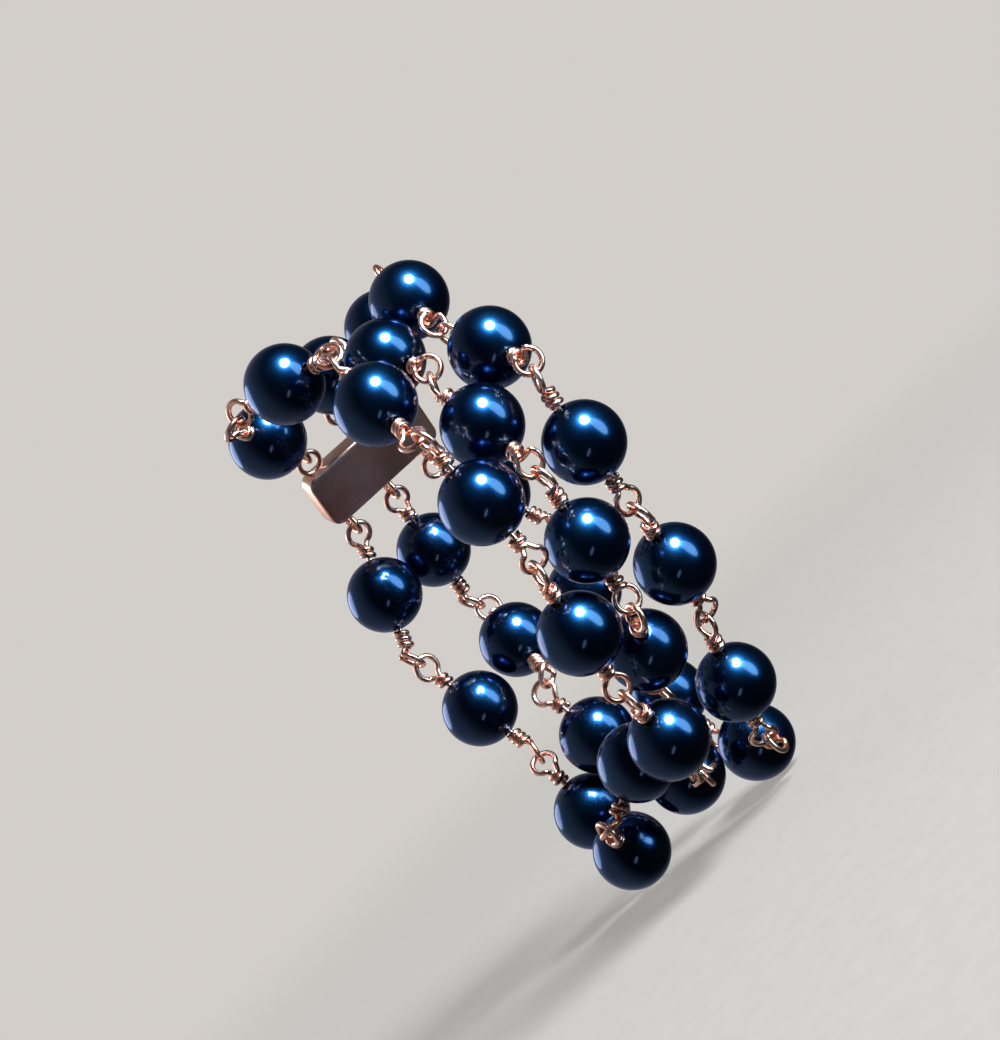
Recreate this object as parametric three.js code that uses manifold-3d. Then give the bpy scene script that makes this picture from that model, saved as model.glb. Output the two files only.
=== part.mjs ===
// A three-strand beaded bracelet, worn. Each 10 mm bead sits on its own wire link, a straight stem with a
// wrapped neck and a round loop at each end, and the links hang through each other in three strands that
// one plain bar clasp closes at the back of the wrist.
// Millimetres. The wrist runs along Y, with the hand towards +Y. +X is the broad side of the wrist, the
// strands' slack hangs towards -Z, and the origin is the middle of the wrist's hollow.
import * as THREE from 'three';
import { mergeVertices } from 'three/addons/utils/BufferGeometryUtils.js';
import Module from 'manifold-3d';

const wasm = await Module();
wasm.setup();

// Beads.
const beadDiameter = 10;
const boreDiameter = 1.5;
const gap = 0.3;                       // between a bead and the wire, and between the pieces of two strands

// Wire links. The bead lies nearer the tail of its link, where the strand's pull has slid it.
const wireDiameter = 0.72;
const wrapDiameter = 3 * wireDiameter; // outside of the wrapped neck: the neck and one layer round it
const loopRadius = 1.5;                // to the middle of the wire
const headNeck = 4.3;                  // from the bead's surface to the middle of the head loop
const tailNeck = 3.8;
const loopStep = 2.4;                  // between the middles of two loops that hang in each other
const headReach = beadDiameter / 2 + headNeck;
const tailReach = beadDiameter / 2 + tailNeck;
const linkLength = headReach + tailReach;
const loopOutside = loopRadius + wireDiameter / 2;

// Clasp, a plain bar with three eyes on each side.
const clasp = { turn: 314, reach: 27.5, lean: 30, width: 19, length: 7.9, thickness: 3, corner: 1.5 };
const eyeSpacing = 7;
const middleNeck = 2.8;                // holds the middle top eye off the bar, as strand b rides higher
const ringFlats = 0.1;                 // how far the flats of an eye's ring lie inside its circle
const eyeStep = 2 * loopRadius - wireDiameter - gap - ringFlats;    // from an eye to the loop hung in it
const eyeReach = clasp.length / 2 + loopRadius;

// The wrist that the strands lie on: an ellipse, and how deep a bead and a loop press into it.
const wrist = { halfHeight: 25.5, halfDepth: 17.5, beadPress: 0.8, loopStandoff: 2.2 };

// Where each bead sits as worn, from the clasp over the top of the wrist, down its broad side, through the
// slack and up the back. turn: degrees round the wrist, 0 at the top and 90 at the broad side. reach: from
// the wrist's axis. along: towards the hand.
const columns = ['turn', 'reach', 'along'];
const seats = {
  a: [
    [341, 31, 10], [16, 30, 10], [53, 29.5, 9], [86, 29, 8], [129, 25.5, 9],
    [166, 33.5, 8], [190, 42, 9], [207, 33, 7], [238, 25, 10], [283, 23.5, 10],
  ],
  b: [
    [349, 30, 0], [28, 28.5, 2], [67, 29, 1], [103, 29, 0.5], [142, 27, 0],
    [172, 32, -7], [192, 41.5, -12], [207, 39, -10.5], [236, 27, -11], [282, 23.5, -10.5],
  ],
  c: [
    [342, 30, -11.5], [15, 33, -8], [48, 32, -6], [81, 32.5, -6.5], [118, 29, -7],
    [154, 35, -5], [183, 37.5, -2], [208, 30.5, -4], [245, 26, -1], [282, 25.5, -0.5],
  ],
};
const strands = Object.keys(seats);
const topEye = { a: 1, b: 0, c: -1 };        // eye of each strand's first bead, counted towards the hand
const bottomEye = { a: 1, b: -1, c: 0 };     // strands b and c cross in the slack

// How the strands settle from those seats. The pull towards a seat fades out between two shares of the
// rounds, and sharpestTurn is the most that two links may bend at a joint, in degrees.
const settling = { rounds: 3000, pull: 0.3, fadeStart: 0.7, fadeEnd: 0.95, margin: 0.05, sharpestTurn: 60 };

// How finely the round shapes are cut.
const stemSides = 5;
const wrapSides = 6;
const ring = { linkSides: 4, eyeSides: 5, steps: 9 };
const bead = { sides: 12, steps: 6 };

// Colours and finishes.
const pearl = { color: 0x0b1c48, roughness: 0.16, metalness: 0.35 };
const copper = { color: 0xb4684c, roughness: 0.25, metalness: 1 };

// ---- Laying the strands ------------------------------------------------------------------------------

function aroundWrist(turn, reach, along) {
  const angle = THREE.MathUtils.degToRad(turn);
  return new THREE.Vector3(reach * Math.sin(angle), along, reach * Math.cos(angle));
}

// The clasp's own directions: up its length, across its width and out of its face.
function claspFrame() {
  const lean = THREE.MathUtils.degToRad(clasp.lean);
  const up = new THREE.Vector3(Math.sin(lean), 0, Math.cos(lean));
  const across = new THREE.Vector3(0, 1, 0);
  const out = new THREE.Vector3().crossVectors(up, across);
  return { middle: aroundWrist(clasp.turn, clasp.reach, 0), up, across, out };
}

function claspPoint(alongWidth, alongLength) {
  const { middle, up, across } = claspFrame();
  return middle.clone().addScaledVector(across, alongWidth).addScaledVector(up, alongLength);
}

// A place at or beyond the middle of an eye. side: 1 for the top of the clasp, -1 for the bottom.
function eyePoint(eye, side, beyond = 0) {
  const neck = eye === 0 && side === 1 ? middleNeck : 0;
  return claspPoint(eye * eyeSpacing, side * (eyeReach + neck + beyond));
}

// The middle of the loop that hangs in an eye.
const hangFrom = (eye, side) => eyePoint(eye, side, eyeStep);

// One link for each seat, its head loop towards the bead before and its tail loop towards the bead after.
function firstLay() {
  const links = [];
  for (const strand of strands) {
    const rows = seats[strand].map((row) => Object.fromEntries(row.map((value, k) => [columns[k], value])));
    const places = rows.map((row) => aroundWrist(row.turn, row.reach, row.along));
    const path = [hangFrom(topEye[strand], 1), ...places, hangFrom(bottomEye[strand], -1)];
    places.forEach((seat, k) => {
      const head = seat.clone().lerp(path[k], headReach / (linkLength + loopStep));
      const tail = seat.clone().lerp(path[k + 2], tailReach / (linkLength + loopStep));
      links.push({ strand, number: k + 1, seat, head, tail });
    });
  }
  return links;
}

// A ball is a place on a link, at a share of its length from the head, that keeps a radius clear round it.
const beadShare = headReach / linkLength;
const wrapMiddle = (tailReach - loopOutside + beadDiameter / 2 + gap) / 2;    // from the middle of the bead
const balls = [
  { at: 'head', share: 0, radius: loopOutside },
  { at: 'headWrap', share: beadShare - wrapMiddle / linkLength, radius: wrapDiameter / 2 },
  { at: 'bead', share: beadShare, radius: beadDiameter / 2 },
  { at: 'tailWrap', share: beadShare + wrapMiddle / linkLength, radius: wrapDiameter / 2 },
  { at: 'tail', share: 1, radius: loopOutside },
];

const placeOn = (link, share, into) => into.copy(link.head).lerp(link.tail, share);

function shift(link, share, move, amount) {
  const weight = (1 - share) ** 2 + share ** 2;
  link.head.addScaledVector(move, amount * (1 - share) / weight);
  link.tail.addScaledVector(move, amount * share / weight);
}

const from = new THREE.Vector3();
const to = new THREE.Vector3();
const move = new THREE.Vector3();

// Moves two places on links until they are the distance apart, or only if they are nearer than it.
function hold(first, second, distance, onlyIfNearer = false) {
  placeOn(first.link, first.share, from);
  placeOn(second.link, second.share, to);
  move.subVectors(to, from);
  const length = move.length();
  if (onlyIfNearer && length >= distance) return;
  move.multiplyScalar((length - distance) / length);
  shift(first.link, first.share, move, 0.5);
  shift(second.link, second.share, move, -0.5);
}

function keepOff(link, share, point, distance) {
  placeOn(link, share, from);
  move.subVectors(from, point);
  const length = move.length();
  if (length < distance) shift(link, share, move.multiplyScalar((distance - length) / length), 1);
}

function pin(link, share, point) {
  placeOn(link, share, from);
  shift(link, share, move.subVectors(point, from), 1);
}

// Lifts a place on a link out of the wrist, along the ellipse's slope.
function liftFromWrist(link, share, standoff) {
  placeOn(link, share, from);
  const { halfHeight: a, halfDepth: b } = wrist;
  const level = Math.hypot(from.x / b, from.z / a);
  move.set(from.x / b ** 2, 0, from.z / a ** 2);
  const slope = move.length();
  const height = (level ** 2 - 1) / (slope * (1 + level));
  if (height < standoff) shift(link, share, move.multiplyScalar((standoff - height) / slope), 1);
}

// How far apart two balls of different links stay. Where two loops hang in each other, they may cross, and
// each stays a loop's width from the other's wrap.
function distanceApart(first, second) {
  const inTurn = first.link.strand === second.link.strand && second.link.number - first.link.number === 1;
  const joint = inTurn ? `${first.at} ${second.at}` : '';
  if (joint === 'tail head') return 0;
  if (joint === 'tailWrap head' || joint === 'tail headWrap') return loopOutside * 2;
  return first.radius + second.radius + gap + settling.margin;
}

function pairsThatMayMeet(links) {
  const placed = links.flatMap((link) => balls.map((ball) => ({ link, ...ball })));
  return placed.flatMap((first, k) => placed.slice(k + 1)
    .filter((second) => second.link !== first.link)
    .map((second) => [first, second, distanceApart(first, second)]));
}

// From the bead of one link to the middle of its neighbour's loop, where the joint is at its sharpest.
function shortestSpan(reach) {
  const turn = THREE.MathUtils.degToRad(settling.sharpestTurn);
  return Math.sqrt(reach ** 2 + loopStep ** 2 + 2 * reach * loopStep * Math.cos(turn));
}

// Moves a link to its seat and off the clasp and the wrist.
function settleLink(link, pull, claspPoints) {
  const claspRadius = Math.hypot(clasp.length, clasp.thickness) / 2;
  placeOn(link, beadShare, from);
  shift(link, beadShare, move.subVectors(link.seat, from), pull);
  hold({ link, share: 0 }, { link, share: 1 }, linkLength);
  for (const ball of balls) {
    for (const point of claspPoints) keepOff(link, ball.share, point, claspRadius + ball.radius + gap);
  }
  liftFromWrist(link, 0, wrist.loopStandoff);
  liftFromWrist(link, beadShare, beadDiameter / 2 - wrist.beadPress);
  liftFromWrist(link, 1, wrist.loopStandoff);
}

function settleJoint(before, after) {
  hold({ link: before, share: 1 }, { link: after, share: 0 }, loopStep);
  hold({ link: before, share: beadShare }, { link: after, share: 0 }, shortestSpan(tailReach), true);
  hold({ link: before, share: 1 }, { link: after, share: beadShare }, shortestSpan(headReach), true);
}

// Settles the strands: every link keeps its length and hangs in its neighbours, no two pieces touch and the
// wrist stays clear, while a light pull keeps each bead near its seat.
function settle(links) {
  const { rounds, fadeStart, fadeEnd } = settling;
  const pairs = pairsThatMayMeet(links);
  const joints = links.slice(1).map((link, k) => [links[k], link]).filter(([p, q]) => p.strand === q.strand);
  const claspPoints = [-1, -0.5, 0, 0.5, 1].map((k) => claspPoint(k * eyeSpacing, 0));
  for (let round = 0; round < rounds; round += 1) {
    const fade = THREE.MathUtils.inverseLerp(fadeEnd, fadeStart, round / rounds);
    const pull = settling.pull * THREE.MathUtils.clamp(fade, 0, 1);
    for (const link of links) settleLink(link, pull, claspPoints);
    for (const [before, after] of joints) settleJoint(before, after);
    for (const [first, second, distance] of pairs) hold(first, second, distance, true);
    for (const strand of strands) {
      const ownLinks = links.filter((link) => link.strand === strand);
      pin(ownLinks[0], 0, hangFrom(topEye[strand], 1));
      pin(ownLinks[ownLinks.length - 1], 1, hangFrom(bottomEye[strand], -1));
    }
  }
  return links;
}

// ---- Shapes ------------------------------------------------------------------------------------------

const fineWeld = 1e-4;
const coarseWeld = 2e-3;
const sliver = 0.02;

function solid(geometry, weld = fineWeld) {
  const bare = geometry.clone();
  bare.deleteAttribute('normal');
  bare.deleteAttribute('uv');
  const merged = mergeVertices(bare, weld);
  const vertProperties = new Float32Array(merged.attributes.position.array);
  return new wasm.Manifold(new wasm.Mesh({
    numProp: 3, vertProperties, triVerts: new Uint32Array(merged.index.array),
  }));
}

function geometryOf(body) {
  const mesh = body.getMesh();
  const geometry = new THREE.BufferGeometry();
  geometry.setAttribute('position', new THREE.BufferAttribute(mesh.vertProperties, 3));
  geometry.setIndex(new THREE.BufferAttribute(mesh.triVerts, 1));
  geometry.computeVertexNormals();
  return geometry;
}

// A body without the pinholes that close up inside it where its shapes cross.
function withoutPinholes(body) {
  return body.decompose().reduce((largest, shell) => (shell.volume() > largest.volume() ? shell : largest));
}

// Joins shapes into one body, and welds the slivers left along their crossings.
function join(geometries) {
  const whole = geometries.map((geometry) => solid(geometry)).reduce((sum, piece) => sum.add(piece));
  return withoutPinholes(solid(geometryOf(withoutPinholes(whole).simplify(sliver)), coarseWeld));
}

// Turns a geometry's own axis to a wanted one, and moves it to a place.
function stand(geometry, axis, wanted, place) {
  const turned = new THREE.Quaternion().setFromUnitVectors(axis, wanted);
  return geometry.applyMatrix4(new THREE.Matrix4().makeRotationFromQuaternion(turned).setPosition(place));
}

function barBetween(diameter, start, end, sides) {
  const along = new THREE.Vector3().subVectors(end, start);
  const bar = new THREE.CylinderGeometry(diameter / 2, diameter / 2, along.length(), sides);
  return stand(bar, new THREE.Vector3(0, 1, 0), along.normalize(), start.clone().lerp(end, 0.5));
}

// A bead with its bore along X: the half outline runs over the ball and back through the bore.
function beadGeometry() {
  const { sides, steps } = bead;
  const radius = beadDiameter / 2;
  const bore = boreDiameter / 2;
  const edge = Math.asin(bore / radius);
  const outline = [];
  for (let k = 0; k <= steps; k += 1) {
    const angle = edge + (Math.PI - 2 * edge) * k / steps;
    outline.push(new THREE.Vector2(radius * Math.sin(angle), -radius * Math.cos(angle)));
  }
  outline.push(outline[0].clone());
  return new THREE.LatheGeometry(outline, sides).rotateZ(-Math.PI / 2);
}

// The placing of a bead: X along its bore, Z as nearly outwards from the wrist as that allows.
function beadPlacing(link) {
  const x = new THREE.Vector3().subVectors(link.tail, link.head).normalize();
  const middle = placeOn(link, beadShare, new THREE.Vector3());
  const z = squareTo(x, outward(middle));
  return new THREE.Matrix4().makeBasis(x, new THREE.Vector3().crossVectors(z, x), z).setPosition(middle);
}

const outward = (place) => new THREE.Vector3(place.x, 0, place.z).normalize();

const squareTo = (axis, wanted) => wanted.clone().addScaledVector(axis, -wanted.dot(axis)).normalize();

// A loop in the plane square to its axis, and the neck of bare wire that runs to it from within the wrap.
function loopAndNeck(middle, axis, neckStart) {
  const circle = new THREE.TorusGeometry(loopRadius, wireDiameter / 2, ring.linkSides, ring.steps);
  const loop = stand(circle, new THREE.Vector3(0, 0, 1), axis, middle);
  const towardsWrap = squareTo(axis, new THREE.Vector3().subVectors(neckStart, middle));
  const nearest = middle.clone().addScaledVector(towardsWrap, loopRadius);
  return [loop, barBetween(wireDiameter, neckStart, nearest, stemSides)];
}

// The wire of one link. At each joint of a strand, or at the clasp, the tail loop lies flat and the head loop
// stands upright, both in line with the step between their middles.
function linkGeometries(link, before, after) {
  const along = new THREE.Vector3().subVectors(link.tail, link.head).normalize();
  const beadMiddle = placeOn(link, beadShare, new THREE.Vector3());
  const at = (distance) => beadMiddle.clone().addScaledVector(along, distance);
  const headStep = new THREE.Vector3().subVectors(link.head, before).normalize();
  const tailStep = new THREE.Vector3().subVectors(after, link.tail).normalize();
  const headUp = squareTo(headStep, outward(link.head));
  const tailUp = squareTo(tailStep, outward(link.tail));
  const wrapStart = beadDiameter / 2 + gap;
  const headWrapEnd = loopOutside - headReach;
  const tailWrapEnd = tailReach - loopOutside;
  return [
    barBetween(wireDiameter, at(-wrapStart - wireDiameter), at(wrapStart + wireDiameter), stemSides),
    barBetween(wrapDiameter, at(headWrapEnd), at(-wrapStart), wrapSides),
    barBetween(wrapDiameter, at(wrapStart), at(tailWrapEnd), wrapSides),
    ...loopAndNeck(link.head, headUp.cross(headStep), at(headWrapEnd + wireDiameter / 2)),
    ...loopAndNeck(link.tail, tailUp, at(tailWrapEnd - wireDiameter / 2)),
  ];
}

// The bar lies with its length along X, its width along Y and its face up Z. The eyes that take head loops
// lie flat, and those that take tail loops stand upright.
function claspGeometry() {
  const { corner } = clasp;
  const x = clasp.length / 2;
  const y = clasp.width / 2;
  const outline = new THREE.Shape();
  outline.moveTo(corner - x, -y);
  outline.lineTo(x - corner, -y);
  outline.absarc(x - corner, corner - y, corner, -Math.PI / 2, 0);
  outline.lineTo(x, y - corner);
  outline.absarc(x - corner, y - corner, corner, 0, Math.PI / 2);
  outline.lineTo(corner - x, y);
  outline.absarc(corner - x, y - corner, corner, Math.PI / 2, Math.PI);
  outline.lineTo(-x, corner - y);
  outline.absarc(corner - x, corner - y, corner, Math.PI, Math.PI * 1.5);
  const settings = { depth: clasp.thickness, bevelEnabled: false, curveSegments: 3 };
  const bar = new THREE.ExtrudeGeometry(outline, settings).translate(0, 0, -clasp.thickness / 2);
  const circle = () => new THREE.TorusGeometry(loopRadius, wireDiameter / 2, ring.eyeSides, ring.steps);
  const eyes = [];
  for (const eye of [-1, 0, 1]) {
    const neck = eye === 0 ? middleNeck : 0;
    eyes.push(circle().translate(eyeReach + neck, eye * eyeSpacing, 0));
    eyes.push(circle().rotateX(Math.PI / 2).translate(-eyeReach, eye * eyeSpacing, 0));
  }
  const neckStart = new THREE.Vector3(x - wireDiameter, 0, 0);
  const neckEnd = new THREE.Vector3(eyeReach + middleNeck - loopRadius, 0, 0);
  return geometryOf(join([bar, ...eyes, barBetween(wireDiameter, neckStart, neckEnd, wrapSides)]));
}

// ---- The bracelet ------------------------------------------------------------------------------------

const bracelet = new THREE.Group();

function addPiece(name, geometry, finish, placing) {
  const piece = new THREE.Mesh(geometry, new THREE.MeshStandardMaterial(finish));
  piece.name = name;
  if (placing) piece.applyMatrix4(placing);
  bracelet.add(piece);
}

const links = settle(firstLay());
for (const link of links) {
  addPiece(`bead_${link.strand}${link.number}`, beadGeometry(), pearl, beadPlacing(link));
}
for (const strand of strands) {
  const ownLinks = links.filter((link) => link.strand === strand);
  const wires = ownLinks.flatMap((link, k) => linkGeometries(
    link,
    ownLinks[k - 1]?.tail ?? eyePoint(topEye[strand], 1),
    ownLinks[k + 1]?.head ?? eyePoint(bottomEye[strand], -1),
  ));
  addPiece(`wire_links_${strand}`, geometryOf(join(wires)), copper);
}
const { middle, up, across, out } = claspFrame();
const claspPlacing = new THREE.Matrix4().makeBasis(up, across, out).setPosition(middle);
addPiece('clasp', claspGeometry(), copper, claspPlacing);

export default bracelet;
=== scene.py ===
# %% [markdown]
# # A three-strand beaded bracelet
# The bracelet is made of thirty round glass beads with a dark pearl lacquer. Each bead is threaded on its own
# short wire link, and the links hang through each other's loops in three strands. A plain bar clasp at the
# back closes all three. It keeps the shape that it has on a wrist.
#
# The script starts from a finished CAD model, the frame, which gives the place of every bead. Around it we
# make the things you would look at closely: polished beads, wrapped wire, their finishes, and the light.

# %% Load the frame
import math

import bmesh
import bpy
import numpy as np
from mathutils import Matrix, Vector


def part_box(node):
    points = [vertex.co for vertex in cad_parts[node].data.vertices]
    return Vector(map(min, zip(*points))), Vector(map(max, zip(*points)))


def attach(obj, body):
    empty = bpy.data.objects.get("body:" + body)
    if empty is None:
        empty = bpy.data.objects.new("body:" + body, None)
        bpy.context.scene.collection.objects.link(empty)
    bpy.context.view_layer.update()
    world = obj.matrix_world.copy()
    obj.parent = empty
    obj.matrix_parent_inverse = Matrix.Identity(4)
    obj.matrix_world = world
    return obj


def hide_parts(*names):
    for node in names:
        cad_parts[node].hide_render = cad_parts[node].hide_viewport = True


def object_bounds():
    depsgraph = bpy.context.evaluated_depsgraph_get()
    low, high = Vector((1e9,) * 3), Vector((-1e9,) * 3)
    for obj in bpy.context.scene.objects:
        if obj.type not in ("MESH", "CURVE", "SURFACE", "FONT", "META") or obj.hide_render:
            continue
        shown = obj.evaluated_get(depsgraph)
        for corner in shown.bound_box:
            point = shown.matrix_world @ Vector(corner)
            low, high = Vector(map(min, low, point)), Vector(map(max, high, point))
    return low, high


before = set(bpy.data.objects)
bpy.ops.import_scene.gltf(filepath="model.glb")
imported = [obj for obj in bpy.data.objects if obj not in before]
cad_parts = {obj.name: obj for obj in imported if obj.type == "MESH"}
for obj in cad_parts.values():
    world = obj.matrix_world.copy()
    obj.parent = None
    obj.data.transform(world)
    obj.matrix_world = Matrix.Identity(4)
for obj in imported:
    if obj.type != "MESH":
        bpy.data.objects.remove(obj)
cad_box = [list(corner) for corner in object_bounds()]
size_m = [round(high - low, 4) for low, high in zip(*cad_box)]
print("frame:", len(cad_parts), "nodes, overall size in metres", size_m)

# %% [markdown]
# ## Sizes
# Blender works in metres, and jewellery is measured in millimetres, so every size is written in millimetres
# and multiplied by `MM` once. These are the few numbers that the maker of the bracelet would choose: the
# bead, the wire, and how far each loop stands from its bead. Everything else is worked out from them, or read
# from the frame.

# %% The maker's sizes
MM = 0.001
BEAD_RADIUS = 5.0 * MM
BORE_RADIUS = 0.75 * MM
WIRE_RADIUS = 0.36 * MM
LOOP_RADIUS = 1.6 * MM          # to the middle of the wire
HEAD_REACH = 9.3 * MM           # from the middle of a bead to the middle of its head loop
TAIL_REACH = 8.8 * MM           # and of its tail loop
STRANDS = "abc"
BEADS_PER_STRAND = 10

print("bead", 2 * BEAD_RADIUS / MM, "mm, wire", 2 * WIRE_RADIUS / MM, "mm")

# %% [markdown]
# ## Reading the beads' places
# The middle of a bead is the middle of its box. The direction of its bore is hidden in the mesh: the bore's
# walls are the only faces that lie near the middle, and every one of their normals is square to the bore. A
# *singular value decomposition* of those normals finds the one direction that they all avoid. We could have
# copied the numbers from the CAD source, but a measured place can never fall out of step with the frame.


# %% Measure each bead
def bead_middle(strand, number):
    low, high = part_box(f"bead_{strand}{number}")
    return (low + high) / 2


def bore_direction(strand, number):
    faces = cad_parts[f"bead_{strand}{number}"].data.polygons
    middle = bead_middle(strand, number)
    walls = [face.normal for face in faces if (face.center - middle).length < BEAD_RADIUS / 2]
    return Vector(np.linalg.svd(np.array(walls))[2][-1]).normalized()


def read_strand(strand):
    """A link for each bead: the bead's middle, the bore's direction and the middles of both loops."""
    middles = [bead_middle(strand, number + 1) for number in range(BEADS_PER_STRAND)]
    links = []
    for place, middle in enumerate(middles):
        onward = middles[place + 1] - middle if place + 1 < len(middles) else middle - middles[place - 1]
        along = bore_direction(strand, place + 1)
        along *= math.copysign(1, along.dot(onward))
        links.append({
            "name": f"{strand}{place + 1}",
            "middle": middle,
            "along": along,
            "head": middle - HEAD_REACH * along,
            "tail": middle + TAIL_REACH * along,
        })
    return links


strands = {strand: read_strand(strand) for strand in STRANDS}
steps = [(after["head"] - before["tail"]).length / MM
         for links in strands.values() for before, after in zip(links, links[1:])]
print(f"loops that hang in each other stand {min(steps):.2f} to {max(steps):.2f} mm apart")

# %% [markdown]
# ## Reading the clasp
# The clasp is a flat bar. Its broad faces are the largest faces of its mesh, so their normal tells us which
# way the bar faces, and their corners give its middle and its size. The three directions of the bar go into
# one matrix later, so that a clasp built flat on the world's axes can be dropped into place in one move.

# %% Measure the clasp
SQUARE_ON = 0.999               # cosine of the turn up to which a face still looks along the bar's thickness
BROAD_FACE = (2 * MM) ** 2      # any smaller face belongs to a corner or an eye


def read_clasp():
    """The bar's middle, its three directions, and its size along each of them."""
    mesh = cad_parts["clasp"].data
    outer = [face for face in mesh.polygons if face.normal.dot(face.center) > 0]
    out = max(outer, key=lambda face: face.area).normal.copy()
    across = Vector((0, 1, 0))
    up = across.cross(out).normalized()
    broad = [face for face in mesh.polygons
             if abs(face.normal.dot(out)) > SQUARE_ON and face.area > BROAD_FACE]
    corners = np.array([mesh.vertices[k].co[:] for face in broad for k in face.vertices])
    axes = np.array([up[:], across[:], out[:]])
    low, high = (corners @ axes.T).min(0), (corners @ axes.T).max(0)
    return {
        "middle": Vector(((low + high) / 2) @ axes),
        "up": up,
        "across": across,
        "out": out,
        "size": high - low,
    }


clasp = read_clasp()
print("clasp length, width, thickness in mm:", np.round(clasp["size"] / MM, 2))

# %% [markdown]
# ## Turning a path into wire
# A wire is a circle swept along a path. Blender's curve objects can do this with *bevel depth*, but a curve
# twists where it turns tightly, and its ends can't be rounded. So we sweep it ourselves, in three steps. The
# first draws a smooth curve through a few control points, and walks along it in steps of one length.

# %% Walk along a smooth curve
WIRE_STEP = 0.2 * MM
SAMPLES = 12                    # of the smooth curve, between two control points


def even_steps(points):
    """A Catmull-Rom curve through the points, cut into even steps."""
    points = np.array([tuple(point) for point in points])
    padded = np.vstack([2 * points[0] - points[1], points, 2 * points[-1] - points[-2]])
    share = np.linspace(0, 1, SAMPLES, endpoint=False)[:, None]
    curve = []
    for before, start, end, after in zip(padded, padded[1:], padded[2:], padded[3:]):
        linear = (end - before) * share
        square = (2 * before - 5 * start + 4 * end - after) * share ** 2
        cube = (3 * start - before - 3 * end + after) * share ** 3
        curve.append(start + (linear + square + cube) / 2)
    curve = np.vstack([*curve, points[-1:]])
    lengths = np.concatenate([[0], np.cumsum(np.linalg.norm(np.diff(curve, axis=0), axis=1))])
    wanted = np.linspace(0, lengths[-1], max(2, round(lengths[-1] / WIRE_STEP)) + 1)
    return np.stack([np.interp(wanted, lengths, curve[:, k]) for k in range(3)], axis=1)


print("a wire has a ring of points every", WIRE_STEP / MM, "mm")

# %% [markdown]
# The second step puts a ring of points round each place on the path. A ring needs a direction square to the
# wire to start from. We carry one direction forward from place to place and let it turn only as much as the
# wire bends, which keeps the surface free of twists through every coil. At the two tips the rings shrink and
# reach a little further, so that a snipped end looks filed and not sawn.

# %% Lay rings along the path
SIDES = 12
ANY_SIDE = (0.3, 0.5, 0.8)      # a direction that no wire starts in
FILED = {"radius": (0.6, 0.92), "beyond": (0.30, 0.14)}     # the last rings, in wire radii, from the tip in


def carried_sides(path):
    """For each place on the path its direction, and two directions square to it, carried without twist."""
    tangents = np.gradient(path, axis=0)
    tangents /= np.linalg.norm(tangents, axis=1)[:, None]
    side = np.cross(tangents[0], ANY_SIDE)
    sides = []
    for tangent in tangents:
        side = side - tangent * side.dot(tangent)
        side /= np.linalg.norm(side)
        sides.append(side)
    sides = np.array(sides)
    return tangents, sides, np.cross(tangents, sides)


def wire_surface(path):
    """Rings of points round the path, with a filed end at each tip."""
    tangents, first, second = carried_sides(path)
    filed, beyond = np.array(FILED["radius"]), np.array(FILED["beyond"])
    radii = WIRE_RADIUS * np.concatenate([filed, np.ones(len(path)), filed[::-1]])
    ahead = WIRE_RADIUS * np.concatenate([-beyond, np.zeros(len(path)), beyond[::-1]])
    rows = np.concatenate([[0, 0], np.arange(len(path)), [-1, -1]])
    angles = np.arange(SIDES) * 2 * np.pi / SIDES
    wheel = (np.cos(angles)[None, :, None] * first[rows][:, None]
             + np.sin(angles)[None, :, None] * second[rows][:, None])
    centres = path[rows] + tangents[rows] * ahead[:, None]
    return centres[:, None] + radii[:, None, None] * wheel


print("each ring has", SIDES, "points")

# %% [markdown]
# The third step joins the rings with faces, and many wires into one mesh. It also lays a UV map, round the
# wire in one direction and along it in the other. The metal needs it later, because drawn wire is marked
# along its length. The map has one seam along the wire, where a ring's last face closes the circle: there the
# far corners read 1 and not 0.

# %% Join wires in one mesh
UV_LENGTH = 10 * MM             # the length of wire that takes one unit of the map


def add_object(name, data):
    made = bpy.data.objects.new(name, data)
    bpy.context.scene.collection.objects.link(made)
    return made


def map_wire(mesh, ring_of_vertex):
    coordinates = mesh.uv_layers.new(name="wire_length")
    for face in mesh.polygons:
        for spot, loop in enumerate(face.loop_indices):
            vertex = mesh.loops[loop].vertex_index
            closes = spot in (1, 2) and vertex % SIDES == 0
            round_share = 1 if closes else (vertex % SIDES) / SIDES
            coordinates.data[loop].uv = (round_share, ring_of_vertex[vertex] * WIRE_STEP / UV_LENGTH)


def join_wires(name, surfaces):
    """One piece from many swept wires."""
    vertices, faces, ring_of_vertex = [], [], []
    for rings in surfaces:
        start = len(ring_of_vertex)
        count = len(rings)
        vertices.append(rings.reshape(-1, 3))
        corner = start + np.arange(count * SIDES).reshape(count, SIDES)
        turned = np.roll(corner, -1, axis=1)
        quads = np.stack([corner[:-1], turned[:-1], turned[1:], corner[1:]], axis=-1)
        faces += quads.reshape(-1, 4).tolist()
        faces += [corner[0][::-1].tolist(), corner[-1].tolist()]
        ring_of_vertex += np.repeat(np.arange(count), SIDES).tolist()
    mesh = bpy.data.meshes.new(name)
    mesh.from_pydata(np.vstack(vertices).tolist(), [], faces)
    map_wire(mesh, ring_of_vertex)
    mesh.shade_smooth()
    return add_object(name, mesh)


print("one unit of the wire's map is", UV_LENGTH / MM, "mm of wire")

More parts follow.
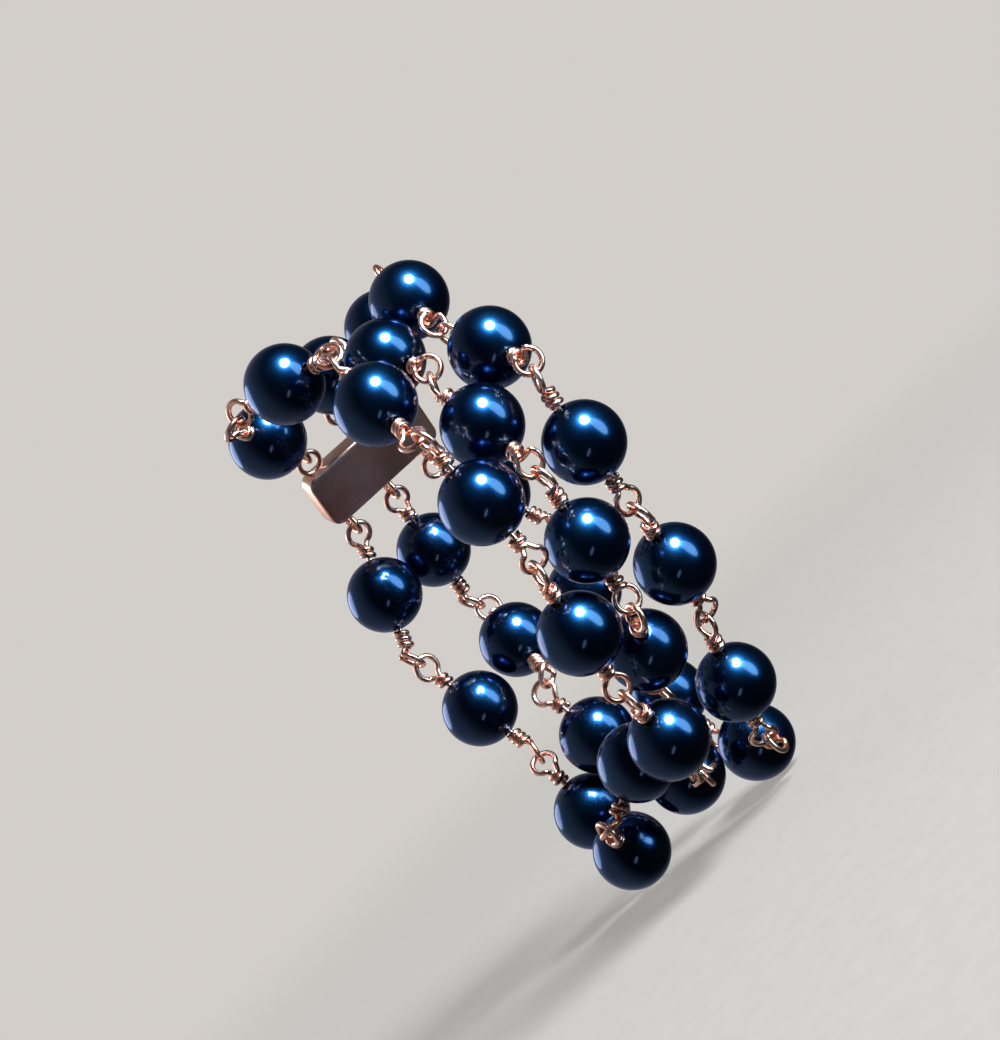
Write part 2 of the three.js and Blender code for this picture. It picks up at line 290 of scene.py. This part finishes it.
# %% [markdown]
# ## The wire links
# A wrapped link is one length of wire. It goes through the bead, bends into a round loop on each side, and
# the two ends come back and wind round their own necks towards the bead, where they are snipped. So the path
# has three stretches at each end of the bead: the straight neck, most of a circle, and a helix that hugs the
# neck.
#
# We could sweep the loop and the coil as separate rings and spirals, but then the wire would end where a real
# one carries on. A single path through all three stretches keeps it whole. It has one fault: where the loop
# closes, a real wire is pushed aside by its own neck, and ours cuts a little into it. Nobody winds wire quite
# evenly, so a seeded random generator, called `hand`, makes each coil a little looser or tighter than the
# last.

# %% The two ends of a link
COIL_RADIUS = 2 * WIRE_RADIUS + 0.02 * MM
COIL_PITCH = 2 * WIRE_RADIUS + 0.05 * MM
COIL_END = BEAD_RADIUS + WIRE_RADIUS + 0.02 * MM
COIL_GAP = 0.15 * MM            # from the loop to the first turn
COIL_ENTRY = 0.9                # radians that the wire takes to swing from the loop into its first turn
COIL_STEP = math.pi / 6
NECK_GAP = 0.7 * MM             # from the last control point of the neck to the loop
NECK_SHARES = np.linspace(0.2, 1, 6)
LOOP_DEGREES = (25, 332, 20)    # where on its circle a loop leaves the neck and comes back, and the step
PITCH_PLAY = (0.99, 1.07)
RADIUS_PLAY = (1, 1.03)
hand = np.random.default_rng(30)


def square_to(axis, wanted):
    return (wanted - axis * wanted.dot(axis)).normalized()


def coil_points(middle, along, start, first, second):
    """Control points of a helix round the neck. start is how far from the bead's middle it begins."""
    pitch = COIL_PITCH * hand.uniform(*PITCH_PLAY)
    turns = (start - COIL_END) / pitch
    coil = []
    for angle in np.arange(COIL_ENTRY, turns * 2 * math.pi, COIL_STEP):
        spoke = first * math.cos(angle) + second * math.sin(angle)
        level = start - pitch * angle / (2 * math.pi)
        coil.append(middle + along * level + spoke * COIL_RADIUS * hand.uniform(*RADIUS_PLAY))
    return coil


def loop_and_coil(middle, along, loop_middle, loop_axis):
    """Control points from beside the bead out along the neck, round the loop and back down the coil."""
    edge = (loop_middle - middle).length - LOOP_RADIUS
    back = square_to(loop_axis, middle - loop_middle)
    side = loop_axis.cross(back)
    neck = [middle + along * (edge - NECK_GAP) * share for share in NECK_SHARES]
    loop = [loop_middle + LOOP_RADIUS * (back * math.cos(angle) + side * math.sin(angle))
            for angle in np.radians(np.arange(*LOOP_DEGREES))]
    either_way = math.copysign(1, hand.random() - 0.5)
    coil = coil_points(middle, along, edge - COIL_GAP,
                       square_to(along, -side), square_to(along, loop_axis) * either_way)
    return neck + loop + coil


print(f"a coil has about {(HEAD_REACH - LOOP_RADIUS - COIL_GAP - COIL_END) / COIL_PITCH:.1f} turns")

# %% [markdown]
# Which way a loop faces depends on its neighbour. Two rings that hang in each other stand at a right angle:
# one lies flat against the wrist and the other stands on edge. So the loop at the head of each link takes one
# of the two directions, and the loop at its tail takes the other.


# %% Bend a whole link
def outward(place):
    return Vector((place.x, 0, place.z)).normalized()


def link_path(link, before, after):
    """The whole wire of one link. before and after are the middles of the loops that it hangs in."""
    head_step = (link["head"] - before).normalized()
    tail_step = (after - link["tail"]).normalized()
    head_axis = square_to(head_step, outward(link["head"])).cross(head_step)
    tail_axis = square_to(tail_step, outward(link["tail"]))
    head_end = loop_and_coil(link["middle"], -link["along"], link["head"], head_axis)
    tail_end = loop_and_coil(link["middle"], link["along"], link["tail"], tail_axis)
    return even_steps(head_end[::-1] + tail_end)


print("a link is", round((HEAD_REACH + TAIL_REACH) / MM, 1), "mm between the middles of its loops")

# %% [markdown]
# ## The clasp's eyes
# The first and the last link of each strand hang in an eye of the clasp. The part's own sizes say where the
# eyes are: 7 mm apart, just off the bar, with the middle one at the top on a longer neck. Strands b and c
# change places in the slack below the wrist, so their eyes at the bottom change places as well.

# %% Where the eyes are
EYE_SPACING = 7 * MM
EYE_RADIUS = 1.5 * MM
MIDDLE_NECK = 2.8 * MM
TOP_EYE = {"a": 1, "b": 0, "c": -1}
BOTTOM_EYE = {"a": 1, "b": -1, "c": 0}


def on_neck(eye, side):
    """side is 1 for the top of the clasp and -1 for the bottom."""
    return eye == 0 and side == 1


def eye_middle(eye, side):
    level = clasp["size"][0] / 2 + EYE_RADIUS + (MIDDLE_NECK if on_neck(eye, side) else 0)
    return clasp["middle"] + clasp["across"] * (eye * EYE_SPACING) + clasp["up"] * (side * level)


print("the middles of the top and bottom eyes are",
      round((eye_middle(1, 1) - eye_middle(1, -1)).length / MM, 1), "mm apart")

# %% [markdown]
# Now every link can be wound. The links of a strand become one mesh, because they share one finish and move
# as one in this model, but each is a wire of its own in it. It hangs in its neighbours as one ring hangs in
# another, a hair clear of them, so that no two wires run into each other.

# %% Wind the links of each strand
for strand, links in strands.items():
    heads = [link["head"] for link in links[1:]] + [eye_middle(BOTTOM_EYE[strand], -1)]
    tails = [eye_middle(TOP_EYE[strand], 1)] + [link["tail"] for link in links[:-1]]
    paths = [link_path(link, before, after) for link, before, after in zip(links, tails, heads)]
    wires = join_wires(f"wound_wires_{strand}", [wire_surface(path) for path in paths])
    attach(wires, "root")
    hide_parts(f"wire_links_{strand}")
    length = sum(np.linalg.norm(np.diff(path, axis=0), axis=1).sum() for path in paths)
    print(f"{wires.name}: {length:.2f} m of wire, {len(wires.data.polygons)} faces")

# %% [markdown]
# ## The beads
# A glass bead isn't a plain sphere: it has a bore, and the lacquer rolls over the bore's edge in a small soft
# lip. We could cut the bore from a sphere with a Boolean modifier, but the cut edge would be ragged. It is
# cleaner to draw half of the bead's outline once, with the bore and its lip, and spin it round like clay on a
# wheel.

# %% Spin a bead
LIP = 0.18 * MM
BALL_POINTS = 44
LIP_POINTS = 5
BORE_POINTS = 8
WHEEL_STEPS = 72
SAME_PLACE = MM / 1000


def bead_outline():
    """Half an outline in the XY plane, round the outside and back through the bore."""
    lip_angle = math.asin((BORE_RADIUS + LIP) / BEAD_RADIUS)
    ball = [(math.cos(angle) * BEAD_RADIUS, math.sin(angle) * BEAD_RADIUS)
            for angle in np.linspace(lip_angle, math.pi - lip_angle, BALL_POINTS)]
    end = ball[0][0]
    lip = [(end - LIP * (1 - math.cos(angle)), BORE_RADIUS + LIP * (1 - math.sin(angle)))
           for angle in np.linspace(0, math.pi / 2, LIP_POINTS)[1:]]
    far_lip = [(-x, y) for x, y in lip]
    bore = [(x, BORE_RADIUS) for x in np.linspace(far_lip[-1][0], lip[-1][0], BORE_POINTS)[1:-1]]
    return ball + far_lip + bore + lip[::-1]


def spin_bead():
    shape = bmesh.new()
    ring = [shape.verts.new((x, y, 0)) for x, y in bead_outline()]
    edges = [shape.edges.new(pair) for pair in zip(ring, ring[1:] + ring[:1])]
    bmesh.ops.spin(shape, geom=ring + edges, cent=(0, 0, 0), axis=(1, 0, 0), steps=WHEEL_STEPS,
                   angle=2 * math.pi, use_merge=True)
    bmesh.ops.remove_doubles(shape, verts=shape.verts, dist=SAME_PLACE)
    bmesh.ops.recalc_face_normals(shape, faces=shape.faces)
    mesh = bpy.data.meshes.new("pearl_bead")
    shape.to_mesh(mesh)
    shape.free()
    mesh.shade_smooth()
    return mesh


bead_mesh = spin_bead()
print("bead mesh:", len(bead_mesh.polygons), "faces")

# %% [markdown]
# Each of the thirty beads is a copy of that one mesh, laid along its link. The same generator turns each one
# by chance round its bore, so that no two show the same side of their lacquer.

# %% Thread the beads on their links
beads = []
for links in strands.values():
    for link in links:
        bead = add_object(f"pearl_{link['name']}", bead_mesh.copy())
        spin = Matrix.Rotation(hand.uniform(0, 2 * math.pi), 4, "X")
        lie_along = link["along"].to_track_quat("X", "Z").to_matrix().to_4x4()
        bead.data.transform(Matrix.Translation(link["middle"]) @ lie_along @ spin)
        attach(bead, "root")
        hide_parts(f"bead_{link['name']}")
        beads.append(bead)
print("threaded", len(beads), "beads")

# %% [markdown]
# ## The clasp
# The clasp is plain: a flat bar with rounded corners, softened edges, and three wire eyes soldered to each
# long side. The bar starts as a block of exactly the frame's size. Its upright corners are rounded first, and
# its remaining edges are then softened a little, because polished metal never has a sharp edge. The Bevel
# tool does both.

# %% Build the clasp's bar
CLASP_CORNER = 1.5 * MM
CLASP_EDGE = 0.35 * MM
CORNER_CUTS = 8
EDGE_CUTS = 4
SHARP = 1                       # radians between the faces on either side of an edge


def rise(edge):
    return abs(edge.verts[0].co.z - edge.verts[1].co.z)


def clasp_bar():
    shape = bmesh.new()
    bmesh.ops.create_cube(shape, size=1)
    bmesh.ops.scale(shape, vec=clasp["size"].tolist(), verts=shape.verts)
    upright = [edge for edge in shape.edges if rise(edge) > MM]
    bmesh.ops.bevel(shape, geom=upright, offset=CLASP_CORNER, segments=CORNER_CUTS, profile=0.5,
                    affect="EDGES")
    rim = [edge for edge in shape.edges if edge.calc_face_angle() > SHARP and rise(edge) < MM / 10]
    bmesh.ops.bevel(shape, geom=rim, offset=CLASP_EDGE, segments=EDGE_CUTS, profile=0.5, affect="EDGES")
    mesh = bpy.data.meshes.new("clasp_bar")
    shape.to_mesh(mesh)
    shape.free()
    mesh.shade_smooth()
    axes = Matrix([clasp["up"], clasp["across"], clasp["out"]]).transposed().to_4x4()
    mesh.transform(Matrix.Translation(clasp["middle"]) @ axes)
    return add_object("clasp_bar", mesh)


bar = clasp_bar()
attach(bar, "root")
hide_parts("clasp")
print("clasp bar", len(bar.data.polygons), "faces")

# %% [markdown]
# The eyes are swept with the same functions as the links. Each is a ring that starts inside the bar, where
# the solder would hold it, and the one on the long neck starts with that neck. The eyes at the top lie flat
# and those at the bottom stand on edge, each square to the loop that hangs in it.

# %% Bend the clasp's eyes
EYE_DEGREES = (-170, 171, 20)   # where round its circle an eye starts and ends, and the step


def eye_path(eye, side):
    middle = eye_middle(eye, side)
    away = clasp["up"] * side
    plane_side = clasp["across"] if side == 1 else clasp["out"]
    ring = [middle + EYE_RADIUS * (away * math.cos(angle) + plane_side * math.sin(angle))
            for angle in np.radians(np.arange(*EYE_DEGREES))]
    foot = EYE_RADIUS + (MIDDLE_NECK + WIRE_RADIUS if on_neck(eye, side) else 2 * WIRE_RADIUS)
    return even_steps([middle - away * foot, *ring, ring[0]])


eyes = join_wires("clasp_eyes", [wire_surface(eye_path(eye, side)) for eye in (-1, 0, 1) for side in (1, -1)])
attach(eyes, "root")
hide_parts("clasp")
print("clasp eyes", len(eyes.data.polygons), "faces")

# %% [markdown]
# ## Building materials from nodes
# A finish in Blender is a small network of nodes. Ours all have the same backbone: some noise, measured in
# the object's own millimetres, mixes two or three colours and moves the roughness a little, and all of it
# feeds one *Principled BSDF*. The helpers below only save typing. One makes a material with its shader, one
# adds a node with its settings, and the others make noise of a given size, and colours and levels from it.


# %% Node helpers
def new_finish(name):
    material = bpy.data.materials.new(name)
    material.use_nodes = True
    nodes = material.node_tree.nodes
    nodes.clear()
    shader = nodes.new("ShaderNodeBsdfPrincipled")
    output = nodes.new("ShaderNodeOutputMaterial")
    join(material, shader.outputs["BSDF"], output.inputs["Surface"])
    return material, shader


def join(owner, output, socket):
    owner.node_tree.links.new(output, socket)


def add_node(owner, kind, settings=None, **inputs):
    """A node of a material or a world. Each input is a value, or another node's output to join to it."""
    node = owner.node_tree.nodes.new(kind)
    for name, value in (settings or {}).items():
        setattr(node, name, value)
    for name, value in inputs.items():
        socket = node.inputs[name.replace("_", " ")]
        if isinstance(value, bpy.types.NodeSocket):
            join(owner, value, socket)
        else:
            socket.default_value = value
    return node


def noise(material, size, detail=3.0, source="Object", stretch=(1, 1, 1)):
    """Noise whose blotches are about `size` metres across."""
    place = add_node(material, "ShaderNodeTexCoord").outputs[source]
    scale = tuple(part / size for part in stretch)
    scaled = add_node(material, "ShaderNodeMapping", Vector=place, Scale=scale).outputs["Vector"]
    return add_node(material, "ShaderNodeTexNoise", Vector=scaled, Scale=1.0, Detail=detail).outputs["Fac"]


def ramp(material, factor, stops):
    """Each stop is (position, colour)."""
    node = add_node(material, "ShaderNodeValToRGB", Fac=factor)
    elements = node.color_ramp.elements
    while len(elements) < len(stops):
        elements.new(0.5)
    for element, (position, colour) in zip(elements, stops):
        element.position = position
        element.color = (*colour, 1)
    return node.outputs["Color"]


def multiply(material, first, second):
    """The product of two colours. A Mix node has its colours at places 6 and 7, and their mix at 2."""
    node = add_node(material, "ShaderNodeMix", {"data_type": "RGBA", "blend_type": "MULTIPLY"})
    node.inputs[0].default_value = 1
    join(material, first, node.inputs[6])
    join(material, second, node.inputs[7])
    return node.outputs[2]


def level(material, factor, low, high):
    """Stretches a factor from 0..1 to low..high."""
    return add_node(material, "ShaderNodeMapRange", Value=factor, To_Min=low, To_Max=high).outputs["Result"]


# %% [markdown]
# ## Midnight pearl
# The beads are glass under a dark pearl lacquer and a clear coat. That is two reflections, one inside the
# other. The lacquer is full of tiny blue flakes, so it throws back a wide, soft blue glow where the light
# falls and is nearly black everywhere else. So its base is a metal of a very dark blue and a middling
# roughness, and *Specular Tint* keeps it blue at the bead's edge, where a plain metal turns white. The clear
# coat gives the small hard white glint and a thin bright edge, so it is the shader's *coat*. The lacquer is
# dipped by hand, so its colour drifts a little over a bead, and its skin is not quite flat.

# %% The bead finish
LACQUER = ((0.30, (0.0015, 0.017, 0.066)), (0.55, (0.0025, 0.026, 0.084)), (0.75, (0.0045, 0.036, 0.098)))
FLAKES = ((0.35, (0.80, 0.80, 0.85)), (0.65, (1.2, 1.25, 1.3)))     # how much a flake dims or brightens it
LACQUER_EDGE = (0.55, 0.66, 1.0)
LACQUER_ROUGHNESS = (0.23, 0.31)
DRIFT_SIZE = 5 * MM
FLAKE_SIZE = 0.12 * MM
SKIN_SIZE = 0.8 * MM
SKIN_DEPTH = 0.03 * MM


def midnight_pearl():
    material, shader = new_finish("midnight_pearl")
    drift = noise(material, DRIFT_SIZE, detail=2)
    flakes = noise(material, FLAKE_SIZE, detail=1)
    colour = multiply(material, ramp(material, drift, LACQUER), ramp(material, flakes, FLAKES))
    skin = add_node(material, "ShaderNodeBump", Strength=0.12, Distance=SKIN_DEPTH,
                    Height=noise(material, SKIN_SIZE, detail=2))
    join(material, colour, shader.inputs["Base Color"])
    join(material, level(material, drift, *LACQUER_ROUGHNESS), shader.inputs["Roughness"])
    join(material, skin.outputs["Normal"], shader.inputs["Normal"])
    shader.inputs["Metallic"].default_value = 1
    shader.inputs["Specular Tint"].default_value = (*LACQUER_EDGE, 1)
    shader.inputs["Coat Weight"].default_value = 0.5
    shader.inputs["Coat Roughness"].default_value = 0.08
    shader.inputs["Coat IOR"].default_value = 1.5
    return material


pearl = midnight_pearl()
for bead in beads:
    bead.data.materials.append(pearl)
print("finish:", pearl.name, len(pearl.node_tree.nodes), "nodes")

# %% [markdown]
# ## Rose copper
# The wire is soft copper with a pink, polished surface. Drawing it through a die leaves faint lines along its
# length. The UV map that the sweep laid runs along the wire, so noise that is stretched in that direction
# becomes draw lines. A slower noise lets the metal go browner in places, as handled copper does. The clasp is
# the same metal with no length to follow, so its lines are fine brushing, measured on the object itself, and
# it has browned less and in wider patches.

# %% The metal finishes
COPPER = (0.90, 0.51, 0.41)
ROSE = (0.97, 0.70, 0.61)
WIRE_BROWN = (0.68, 0.30, 0.21)
CLASP_BROWN = (0.86, 0.45, 0.35)
DRAW_LINES = {"size": 1.0, "source": "UV", "stretch": (5, 0.35, 1)}
BRUSHING = {"size": 0.12 * MM, "stretch": (1, 0.05, 1)}
LINE_DEPTH = 0.02 * MM


def rose_copper(name, marks, brown, patches, roughness):
    """marks is the noise of the fine lines, brown the darkest colour, and patches how large it lies."""
    material, shader = new_finish(name)
    tarnish = noise(material, patches, detail=4)
    lines = noise(material, **marks, detail=2)
    colour = ramp(material, tarnish, ((0.30, brown), (0.5, COPPER), (0.72, ROSE)))
    relief = add_node(material, "ShaderNodeBump", Strength=0.25, Distance=LINE_DEPTH, Height=lines)
    join(material, colour, shader.inputs["Base Color"])
    join(material, level(material, lines, *roughness), shader.inputs["Roughness"])
    join(material, relief.outputs["Normal"], shader.inputs["Normal"])
    shader.inputs["Metallic"].default_value = 1
    return material


wire_finish = rose_copper("rose_copper_wire", DRAW_LINES, WIRE_BROWN, patches=2.5 * MM,
                          roughness=(0.17, 0.34))
clasp_finish = rose_copper("rose_copper_clasp", BRUSHING, CLASP_BROWN, patches=9 * MM,
                           roughness=(0.24, 0.36))
for strand in STRANDS:
    bpy.data.objects[f"wound_wires_{strand}"].data.materials.append(wire_finish)
eyes.data.materials.append(wire_finish)
bar.data.materials.append(clasp_finish)
print("metal finishes:", wire_finish.name, "and", clasp_finish.name)

# %% [markdown]
# ## The floor
# A wide pale floor lies just under the lowest bead. It turns clear with distance from the middle, so that it
# passes into the pale room behind it with no horizon. It is a dark floor that glows a little by itself: the
# glow brings it to the colour of the room, and the dark part takes only a faint shadow. It is left out of
# reflections, as if a black card lay under the bracelet, because dark lacquer is only dark in a dark room.

# %% Lay the floor
PALE = (0.645, 0.615, 0.585)
FLOOR_SHADES = ((0.3, (0.062, 0.060, 0.057)), (0.7, (0.072, 0.070, 0.067)))
FLOOR_GLOW = 0.5
FLOOR_RADIUS = 3.0
FLOOR_GAP = 0.3 * MM
FADE = (0.08, 0.45)             # where the floor starts and ends its fade, in metres from the middle


def floor_finish():
    material, shader = new_finish("pale_floor")
    shade = ramp(material, noise(material, 3 * MM, detail=4), FLOOR_SHADES)
    join(material, shade, shader.inputs["Base Color"])
    shader.inputs["Roughness"].default_value = 0.9
    shader.inputs["Emission Color"].default_value = (*PALE, 1)
    shader.inputs["Emission Strength"].default_value = FLOOR_GLOW
    place = add_node(material, "ShaderNodeTexCoord").outputs["Object"]
    distance = add_node(material, "ShaderNodeVectorMath", {"operation": "LENGTH"})
    join(material, place, distance.inputs[0])
    fade = add_node(material, "ShaderNodeMapRange", {"interpolation_type": "SMOOTHSTEP"},
                    Value=distance.outputs["Value"], From_Min=FADE[0], From_Max=FADE[1])
    clear = add_node(material, "ShaderNodeBsdfTransparent")
    blend = add_node(material, "ShaderNodeMixShader", Fac=fade.outputs["Result"])
    join(material, shader.outputs["BSDF"], blend.inputs[1])
    join(material, clear.outputs["BSDF"], blend.inputs[2])
    output = next(node for node in material.node_tree.nodes if node.type == "OUTPUT_MATERIAL")
    join(material, blend.outputs["Shader"], output.inputs["Surface"])
    return material


def pale_floor():
    shape = bmesh.new()
    bmesh.ops.create_circle(shape, cap_ends=True, segments=96, radius=FLOOR_RADIUS)
    mesh = bpy.data.meshes.new("floor")
    shape.to_mesh(mesh)
    shape.free()
    mesh.materials.append(floor_finish())
    floor = add_object("floor", mesh)
    floor.location.z = cad_box[0][2] - FLOOR_GAP
    floor.visible_glossy = False
    return floor


floor = pale_floor()
print("floor at", round(floor.location.z / MM, 1), "mm")

# %% [markdown]
# ## The room
# Jewellery is lit by what it reflects, so the room matters as much as the lamps. The world plays the room. It
# is bright where it is seen directly and much dimmer as light, and it sheds less of it from before the
# bracelet than from behind. That leaves the beads dark in their middles and gives them pale edges. A dot
# product of the direction in which light arrives with the room's own forward direction tells the ends apart.

# %% Light the room
FORWARD = (0.77, 0.64, 0.0)     # towards the dark end of the room
ROOM_SEEN = 1.0
ROOM_BEFORE = 0.035
ROOM_BEHIND = 0.6
ROOM_TURN = (-0.9, 0.1)         # how far forward a direction is where the room starts and ends its dimming


def pale_room():
    world = bpy.data.worlds.new("pale_room")
    world.use_nodes = True
    world.node_tree.nodes.clear()
    forward = add_node(world, "ShaderNodeVectorMath", {"operation": "DOT_PRODUCT"})
    forward.inputs[1].default_value = FORWARD
    join(world, add_node(world, "ShaderNodeTexCoord").outputs["Generated"], forward.inputs[0])
    shed = add_node(world, "ShaderNodeMapRange", {"interpolation_type": "SMOOTHSTEP"},
                    Value=forward.outputs["Value"], From_Min=ROOM_TURN[0], From_Max=ROOM_TURN[1],
                    To_Min=ROOM_BEHIND, To_Max=ROOM_BEFORE)
    directly = add_node(world, "ShaderNodeLightPath").outputs["Is Camera Ray"]
    strength = add_node(world, "ShaderNodeMapRange", Value=directly, To_Min=shed.outputs["Result"],
                        To_Max=ROOM_SEEN).outputs["Result"]
    background = add_node(world, "ShaderNodeBackground", Color=(*PALE, 1), Strength=strength)
    add_node(world, "ShaderNodeOutputWorld", Surface=background.outputs["Background"])
    return world


bpy.context.scene.world = pale_room()
print("room strength", ROOM_SEEN, "seen, as light", ROOM_BEFORE, "before and", ROOM_BEHIND, "behind")

# %% [markdown]
# ## Camera
# The camera looks from the broad side of the wrist with a long lens, which keeps the beads round and alike in
# size. It is easiest to place by where it aims, how far away it stands, how far it is turned off the broad
# side and how much it is rolled, and to let a matrix do the rest. The roll is large: it tips the wrist's own
# line from level to a steep slant, from the elbow at the lower left to the hand at the upper right.

# %% Place the camera
LENS_MM = 97.0
SENSOR_MM = 36
AIM = Vector((0.5, 2.0, 1.7)) * MM
CAMERA_DISTANCE = 349.3 * MM
CAMERA_TURN = math.radians(-15.1)       # off +X, towards the elbow
CAMERA_RISE = math.radians(0.6)
CAMERA_ROLL = math.radians(42.6)
NEAREST_SEEN = 10 * MM


def place_camera():
    away = Vector((math.cos(CAMERA_TURN) * math.cos(CAMERA_RISE),
                   math.sin(CAMERA_TURN) * math.cos(CAMERA_RISE), math.sin(CAMERA_RISE)))
    data = bpy.data.cameras.new("camera")
    data.lens = LENS_MM
    data.sensor_width = SENSOR_MM
    data.clip_start = NEAREST_SEEN
    camera = add_object("camera", data)
    looking = away.to_track_quat("Z", "Y").to_matrix().to_4x4()
    roll = Matrix.Rotation(-CAMERA_ROLL, 4, "Z")
    camera.matrix_world = Matrix.Translation(AIM + away * CAMERA_DISTANCE) @ looking @ roll
    bpy.context.scene.camera = camera
    return camera


camera = place_camera()
print("camera at", [round(part, 4) for part in camera.matrix_world.translation])

# %% [markdown]
# ## Lamps
# A round bead is a mirror of the whole room, so it is easiest to say where on a bead each glint should sit
# and let the law of reflection say where its lamp must stand. One small bright softbox high in front gives
# each bead its white glint and the blue glow round it. A long window-like one beside it draws the glow out to
# the right in a streak, and a weak strip below the camera adds the faint third glint that shows the beads are
# glassy. A large dim softbox behind lays a pale crescent on the lower left edge of each bead, and lights the
# clasp. The lamps themselves are hidden from the camera.

# %% Place the lamps
STREAK_STEP = 0.01              # a short way along a glint, in bead radii


def glint_direction(right, up):
    """Where a lamp stands whose glint sits at this place on a bead, in bead radii from the bead's middle."""
    normal = Vector((right, up, math.sqrt(1 - right ** 2 - up ** 2)))
    return camera.matrix_world.to_3x3() @ (2 * normal.z * normal - Vector((0, 0, 1)))


def softbox(name, glint, distance, size, power, colour, streak=0):
    """A lamp by its glint on a bead. streak is the direction in degrees in which a long lamp's glint runs."""
    data = bpy.data.lights.new(name, "AREA")
    data.shape = "ELLIPSE"
    data.size, data.size_y = size
    data.energy = power
    data.color = colour
    lamp = add_object(name, data)
    lamp.visible_camera = False
    right, up = glint
    turn = math.radians(streak)
    away = glint_direction(right, up)
    further = glint_direction(right + STREAK_STEP * math.cos(turn), up + STREAK_STEP * math.sin(turn))
    length_axis = square_to(away, further - away)
    turned = Matrix([length_axis, away.cross(length_axis), away]).transposed().to_4x4()
    lamp.matrix_world = Matrix.Translation(away * distance) @ turned
    return lamp


lamps = [
    softbox("key_softbox", glint=(0.0, 0.5), distance=0.9, size=(0.34, 0.44), power=42,
            colour=(0.97, 1.0, 1.0)),
    softbox("window_softbox", glint=(0.32, 0.38), distance=0.8, size=(0.80, 0.38), power=7,
            colour=(0.50, 0.88, 1.0), streak=-38),
    softbox("low_strip", glint=(0.10, -0.22), distance=0.42, size=(0.16, 0.05), power=0.05,
            colour=(0.7, 0.85, 1.0), streak=75),
    softbox("back_softbox", glint=(-0.86, -0.30), distance=0.9, size=(0.60, 0.50), power=2.4,
            colour=(1.0, 0.97, 0.94)),
]
print("lamps:", [lamp.name for lamp in lamps])

# %% [markdown]
# ## Sizes and finish
# The frame's box is written out. The finished pieces must stay within the frame's box. The colours are
# shown as they are, with the *Standard* view, because the filmic ones would grey the blue.

# %% Write out the frame's size and set the view
bpy.context.scene.view_settings.view_transform = "Standard"
print("frame box ", np.round(np.array(cad_box) / MM, 2).tolist())
